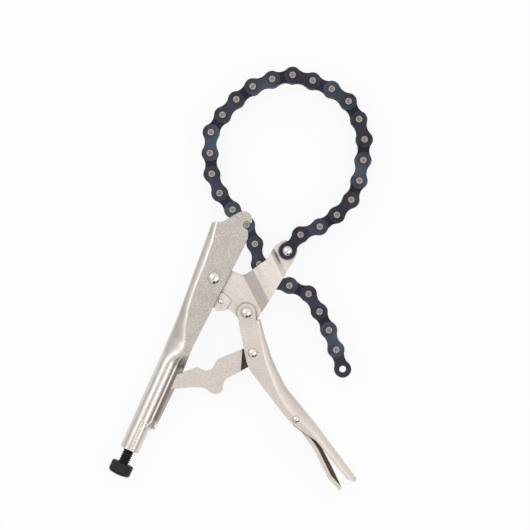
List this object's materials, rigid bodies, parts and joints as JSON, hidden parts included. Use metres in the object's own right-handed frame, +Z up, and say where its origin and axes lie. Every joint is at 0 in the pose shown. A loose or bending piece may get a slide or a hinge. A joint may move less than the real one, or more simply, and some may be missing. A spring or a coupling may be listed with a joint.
{
  "type": "chain locking pliers",
  "caption": "Toggle locking pliers whose chain loops round a pipe and hooks by a pin into the notch of the handle; knob screw sets the grip, small lever releases it",
  "frame": {"origin": "bottom centre of the bounding box, tool lying flat", "axes": "X and Y are the plane in which handles and chain swing, +Y towards the chain loop, +Z up from the surface it lies on"},
  "size_m": [0.2014, 0.3232, 0.0255],
  "materials": {
    "plated_steel": "nickel-plated pressed steel, satin, lightly mottled",
    "rivet_steel": "polished domed rivets",
    "chain_steel": "blued chain steel with bare pin ends",
    "black_oxide": "matt black oxide, threaded bar and knurled knob",
    "spring_steel": "drawn spring wire"
  },
  "bodies": {
    "fixed_handle": {"fixed_handle": "plated_steel", "pivot_washers": "plated_steel", "jaw_pivot_rivet": "rivet_steel", "spring_anchor_pin": "rivet_steel", "tension_spring": "spring_steel"},
    "adjusting_screw": {"adjusting_screw": "black_oxide"},
    "jaw": {"jaw_plate_front": "plated_steel", "jaw_plate_back": "plated_steel", "jaw_spacers": "plated_steel", "spring_bracket": "plated_steel", "spring_rivet": "rivet_steel", "handle_pivot_rivet": "rivet_steel", "chain_anchor_rivet": "rivet_steel"},
    "movable_handle": {"movable_handle": "plated_steel", "toggle_spacers": "plated_steel", "toggle_rivet": "rivet_steel", "release_lever_rivet": "rivet_steel"},
    "toggle_link": {"toggle_link": "plated_steel"},
    "release_lever": {"release_lever": "plated_steel"},
    "chain_anchor_link": {"chain_anchor_link": "chain_steel"},
    "chain_link_01": {"chain_link_01": "chain_steel", "chain_anchor_bush": "chain_steel"},
    "chain_link_02": {"chain_link_02": "chain_steel"},
    "chain_link_03": {"chain_link_03": "chain_steel"},
    "chain_link_04": {"chain_link_04": "chain_steel"},
    "chain_link_05": {"chain_link_05": "chain_steel"},
    "chain_link_06": {"chain_link_06": "chain_steel"},
    "chain_link_07": {"chain_link_07": "chain_steel"},
    "chain_link_08": {"chain_link_08": "chain_steel"},
    "chain_link_09": {"chain_link_09": "chain_steel"},
    "chain_link_10": {"chain_link_10": "chain_steel"},
    "chain_link_11": {"chain_link_11": "chain_steel"},
    "chain_link_12": {"chain_link_12": "chain_steel"},
    "chain_link_13": {"chain_link_13": "chain_steel"},
    "chain_link_14": {"chain_link_14": "chain_steel"},
    "chain_link_15": {"chain_link_15": "chain_steel"},
    "chain_link_16": {"chain_link_16": "chain_steel"},
    "chain_link_17": {"chain_link_17": "chain_steel"},
    "chain_link_18": {"chain_link_18": "chain_steel"},
    "chain_link_19": {"chain_link_19": "chain_steel"},
    "chain_link_20": {"chain_link_20": "chain_steel"},
    "chain_link_21": {"chain_link_21": "chain_steel"},
    "chain_link_22": {"chain_link_22": "chain_steel"},
    "chain_link_23": {"chain_link_23": "chain_steel"},
    "chain_link_24": {"chain_link_24": "chain_steel"},
    "chain_link_25": {"chain_link_25": "chain_steel"},
    "chain_link_26": {"chain_link_26": "chain_steel"},
    "chain_link_27": {"chain_link_27": "chain_steel"},
    "chain_link_28": {"chain_link_28": "chain_steel"},
    "chain_link_29": {"chain_link_29": "chain_steel"},
    "chain_link_30": {"chain_link_30": "chain_steel"}
  },
  "joints": [
    {"name": "handle_squeeze", "type": "hinge", "parent": "jaw", "child": "movable_handle", "pos_m": [0.00415, -0.02598, 0.01275], "axis": [0, 0, -1], "range_deg": [0, 50]},
    {"name": "jaw_swing", "type": "hinge", "parent": "fixed_handle", "child": "jaw", "pos_m": [-0.02075, 0.00042, 0.01275], "axis": [0, 0, 1], "range_deg": [-0.5, 23.58], "deforming": ["tension_spring"]},
    {"name": "toggle_swing", "type": "hinge", "parent": "movable_handle", "child": "toggle_link", "pos_m": [0.00885, -0.05668, 0.01275], "axis": [0, 0, 1], "range_deg": [-0.5, 37.23]},
    {"name": "release_squeeze", "type": "hinge", "parent": "movable_handle", "child": "release_lever", "pos_m": [0.04195, -0.10718, 0.01275], "axis": [0, 0, 1], "range_deg": [0, 8]},
    {"name": "screw_travel", "type": "slide", "parent": "fixed_handle", "child": "adjusting_screw", "axis": [0.4115, 0.9114, 0], "range_m": [-0.015, 0.0035]},
    {"name": "chain_hinge_00", "type": "hinge", "parent": "jaw", "child": "chain_anchor_link", "pos_m": [0.03545, 0.02102, 0.01275], "axis": [0, 0, 1], "range_deg": [-8.2, 0.5]},
    {"name": "chain_hinge_01", "type": "hinge", "parent": "chain_anchor_link", "child": "chain_link_01", "pos_m": [0.04538, 0.03341, 0.01275], "axis": [0, 0, 1], "range_deg": [-8.58, 0.5]},
    {"name": "chain_hinge_02", "type": "hinge", "parent": "chain_link_01", "child": "chain_link_02", "pos_m": [0.06004, 0.03948, 0.01275], "axis": [0, 0, 1], "range_deg": [-0.5, 3.04]},
    {"name": "chain_hinge_03", "type": "hinge", "parent": "chain_link_02", "child": "chain_link_03", "pos_m": [0.07308, 0.04854, 0.01275], "axis": [0, 0, 1], "range_deg": [-9.63, 0.5]},
    {"name": "chain_hinge_04", "type": "hinge", "parent": "chain_link_03", "child": "chain_link_04", "pos_m": [0.08405, 0.06002, 0.01275], "axis": [0, 0, 1], "range_deg": [-0.5, 3.04]},
    {"name": "chain_hinge_05", "type": "hinge", "parent": "chain_link_04", "child": "chain_link_05", "pos_m": [0.09022, 0.07464, 0.01275], "axis": [0, 0, 1], "range_deg": [-3.23, 0.5]},
    {"name": "chain_hinge_06", "type": "hinge", "parent": "chain_link_05", "child": "chain_link_06", "pos_m": [0.09323, 0.09023, 0.01275], "axis": [0, 0, 1], "range_deg": [-0.5, 8.5]},
    {"name": "chain_hinge_07", "type": "hinge", "parent": "chain_link_06", "child": "chain_link_07", "pos_m": [0.09422, 0.10608, 0.01275], "axis": [0, 0, 1], "range_deg": [-3.04, 0.5]},
    {"name": "chain_hinge_08", "type": "hinge", "parent": "chain_link_07", "child": "chain_link_08", "pos_m": [0.09001, 0.12138, 0.01275], "axis": [0, 0, 1], "range_deg": [-0.5, 7.39]},
    {"name": "chain_hinge_09", "type": "hinge", "parent": "chain_link_08", "child": "chain_link_09", "pos_m": [0.08197, 0.13507, 0.01275], "axis": [0, 0, 1], "range_deg": [-3.04, 0.5]},
    {"name": "chain_hinge_10", "type": "hinge", "parent": "chain_link_09", "child": "chain_link_10", "pos_m": [0.0692, 0.14449, 0.01275], "axis": [0, 0, 1], "range_deg": [-0.5, 7.81]},
    {"name": "hook_hinge", "type": "hinge", "parent": "fixed_handle", "child": "chain_link_21", "pos_m": [0.00433, 0.04095, 0.01275], "axis": [0, 0, 1], "range_deg": [-0.5, 10.88]},
    {"name": "chain_hinge_12", "type": "hinge", "parent": "chain_link_12", "child": "chain_link_11", "pos_m": [0.03938, 0.15517, 0.01275], "axis": [0, 0, 1], "range_deg": [-9.13, 0.5]},
    {"name": "chain_hinge_13", "type": "hinge", "parent": "chain_link_13", "child": "chain_link_12", "pos_m": [0.02381, 0.15203, 0.01275], "axis": [0, 0, 1], "range_deg": [-0.5, 3.19]},
    {"name": "chain_hinge_14", "type": "hinge", "parent": "chain_link_14", "child": "chain_link_13", "pos_m": [0.00898, 0.14637, 0.01275], "axis": [0, 0, 1], "range_deg": [-3.04, 0.5]},
    {"name": "chain_hinge_15", "type": "hinge", "parent": "chain_link_15", "child": "chain_link_14", "pos_m": [-0.00347, 0.13653, 0.01275], "axis": [0, 0, 1], "range_deg": [-0.5, 10.05]},
    {"name": "chain_hinge_16", "type": "hinge", "parent": "chain_link_16", "child": "chain_link_15", "pos_m": [-0.01408, 0.12471, 0.01275], "axis": [0, 0, 1], "range_deg": [-3.04, 0.5]},
    {"name": "chain_hinge_17", "type": "hinge", "parent": "chain_link_17", "child": "chain_link_16", "pos_m": [-0.02284, 0.11148, 0.01275], "axis": [0, 0, 1], "range_deg": [-0.5, 7.75]},
    {"name": "chain_hinge_18", "type": "hinge", "parent": "chain_link_18", "child": "chain_link_17", "pos_m": [-0.02361, 0.09562, 0.01275], "axis": [0, 0, 1], "range_deg": [-3.04, 0.5]},
    {"name": "chain_hinge_19", "type": "hinge", "parent": "chain_link_19", "child": "chain_link_18", "pos_m": [-0.02223, 0.07981, 0.01275], "axis": [0, 0, 1], "range_deg": [-0.5, 4.76]},
    {"name": "chain_hinge_20", "type": "hinge", "parent": "chain_link_20", "child": "chain_link_19", "pos_m": [-0.01623, 0.06511, 0.01275], "axis": [0, 0, 1], "range_deg": [-5.84, 0.5]},
    {"name": "chain_hinge_21", "type": "hinge", "parent": "chain_link_21", "child": "chain_link_20", "pos_m": [-0.00646, 0.0526, 0.01275], "axis": [0, 0, 1], "range_deg": [-0.5, 3.04]},
    {"name": "chain_hinge_22", "type": "hinge", "parent": "chain_link_21", "child": "chain_link_22", "pos_m": [0.00433, 0.04095, 0.01275], "axis": [0, 0, 1], "range_deg": [-28.51, 0.5]},
    {"name": "chain_hinge_23", "type": "hinge", "parent": "chain_link_22", "child": "chain_link_23", "pos_m": [0.01063, 0.02638, 0.01275], "axis": [0, 0, 1], "range_deg": [-0.5, 47.69]},
    {"name": "chain_hinge_24", "type": "hinge", "parent": "chain_link_23", "child": "chain_link_24", "pos_m": [0.01396, 0.01086, 0.01275], "axis": [0, 0, 1], "range_deg": [-8.18, 0.5]},
    {"name": "chain_hinge_25", "type": "hinge", "parent": "chain_link_24", "child": "chain_link_25", "pos_m": [0.02122, -0.00326, 0.01275], "axis": [0, 0, 1], "range_deg": [-11.11, 0.5]},
    {"name": "chain_hinge_26", "type": "hinge", "parent": "chain_link_25", "child": "chain_link_26", "pos_m": [0.03696, -0.00533, 0.01275], "axis": [0, 0, 1], "range_deg": [-10, 25]},
    {"name": "chain_hinge_27", "type": "hinge", "parent": "chain_link_26", "child": "chain_link_27", "pos_m": [0.05149, -0.01171, 0.01275], "axis": [0, 0, 1], "range_deg": [-10, 25]},
    {"name": "chain_hinge_28", "type": "hinge", "parent": "chain_link_27", "child": "chain_link_28", "pos_m": [0.05979, -0.02525, 0.01275], "axis": [0, 0, 1], "range_deg": [-10, 25]},
    {"name": "chain_hinge_29", "type": "hinge", "parent": "chain_link_28", "child": "chain_link_29", "pos_m": [0.06704, -0.03937, 0.01275], "axis": [0, 0, 1], "range_deg": [-10, 25]},
    {"name": "chain_hinge_30", "type": "hinge", "parent": "chain_link_29", "child": "chain_link_30", "pos_m": [0.07258, -0.05425, 0.01275], "axis": [0, 0, 1], "range_deg": [-10, 25]}
  ],
  "couplings": [
    {"joint": "jaw_swing", "follows": "handle_squeeze", "ratio": 0.4615},
    {"joint": "toggle_swing", "follows": "handle_squeeze", "ratio": 0.7345},
    {"joint": "chain_hinge_00", "follows": "handle_squeeze", "ratio": -0.15398},
    {"joint": "chain_hinge_01", "follows": "handle_squeeze", "ratio": -0.16169},
    {"joint": "chain_hinge_02", "follows": "handle_squeeze", "ratio": 0.05076},
    {"joint": "chain_hinge_03", "follows": "handle_squeeze", "ratio": -0.18258},
    {"joint": "chain_hinge_04", "follows": "handle_squeeze", "ratio": 0.05076},
    {"joint": "chain_hinge_05", "follows": "handle_squeeze", "ratio": -0.05465},
    {"joint": "chain_hinge_06", "follows": "handle_squeeze", "ratio": 0.15993},
    {"joint": "chain_hinge_07", "follows": "handle_squeeze", "ratio": -0.05076},
    {"joint": "chain_hinge_08", "follows": "handle_squeeze", "ratio": 0.13789},
    {"joint": "chain_hinge_09", "follows": "handle_squeeze", "ratio": -0.05076},
    {"joint": "chain_hinge_10", "follows": "handle_squeeze", "ratio": 0.14618},
    {"joint": "hook_hinge", "follows": "handle_squeeze", "ratio": 0.20768},
    {"joint": "chain_hinge_12", "follows": "handle_squeeze", "ratio": -0.17268},
    {"joint": "chain_hinge_13", "follows": "handle_squeeze", "ratio": 0.05381},
    {"joint": "chain_hinge_14", "follows": "handle_squeeze", "ratio": -0.05076},
    {"joint": "chain_hinge_15", "follows": "handle_squeeze", "ratio": 0.19097},
    {"joint": "chain_hinge_16", "follows": "handle_squeeze", "ratio": -0.05076},
    {"joint": "chain_hinge_17", "follows": "handle_squeeze", "ratio": 0.14509},
    {"joint": "chain_hinge_18", "follows": "handle_squeeze", "ratio": -0.05076},
    {"joint": "chain_hinge_19", "follows": "handle_squeeze", "ratio": 0.08524},
    {"joint": "chain_hinge_20", "follows": "handle_squeeze", "ratio": -0.10674},
    {"joint": "chain_hinge_21", "follows": "handle_squeeze", "ratio": 0.05076},
    {"joint": "chain_hinge_22", "follows": "handle_squeeze", "ratio": -0.56029},
    {"joint": "chain_hinge_23", "follows": "handle_squeeze", "ratio": 0.94385},
    {"joint": "chain_hinge_24", "follows": "handle_squeeze", "ratio": -0.15363},
    {"joint": "chain_hinge_25", "follows": "handle_squeeze", "ratio": -0.21219}
  ]
}
